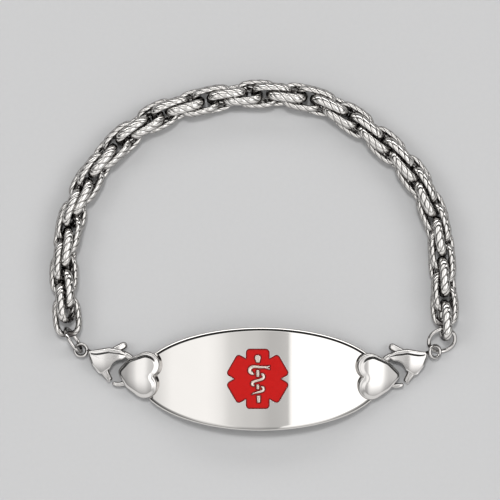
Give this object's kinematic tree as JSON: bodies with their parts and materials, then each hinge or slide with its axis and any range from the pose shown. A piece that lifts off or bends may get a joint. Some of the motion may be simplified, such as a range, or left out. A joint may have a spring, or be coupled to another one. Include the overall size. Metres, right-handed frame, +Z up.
{
  "type": "medical alert bracelet",
  "caption": "Steel medical alert bracelet lying flat: an arched oval plate with an enamelled medical sign, heart ends, lobster clasps, jump rings and a rope chain.",
  "frame": {"origin": "middle of the bounding box, on the surface the bracelet lies on", "axes": "+X along the long axis of the loop, from the left clasp to the right one, +Y from the plate towards the far side of the chain, +Z up, out of the face of the plate"},
  "size_m": [0.0654, 0.0562, 0.0052],
  "materials": {
    "steel": "mirror polish",
    "red_enamel": "gloss"
  },
  "bodies": {
    "bracelet": {"id_plate": "steel", "enamel": "red_enamel", "left_clasp": "steel", "right_clasp": "steel", "left_jump_ring": "steel", "right_jump_ring": "steel", "chain": "steel"},
    "left_gate": {"left_lever": "steel"},
    "right_gate": {"right_lever": "steel"}
  },
  "joints": [
    {"name": "left_gate_hinge", "type": "hinge", "parent": "bracelet", "child": "left_gate", "pos_m": [-0.02395, -0.01651, 0.0014], "axis": [0, 0, 1], "range_deg": [0, 14], "stiffness_Nm_per_rad": 0.005},
    {"name": "right_gate_hinge", "type": "hinge", "parent": "bracelet", "child": "right_gate", "pos_m": [0.02527, -0.01675, 0.0014], "axis": [0, 0, -1], "range_deg": [0, 14], "stiffness_Nm_per_rad": 0.005}
  ]
}
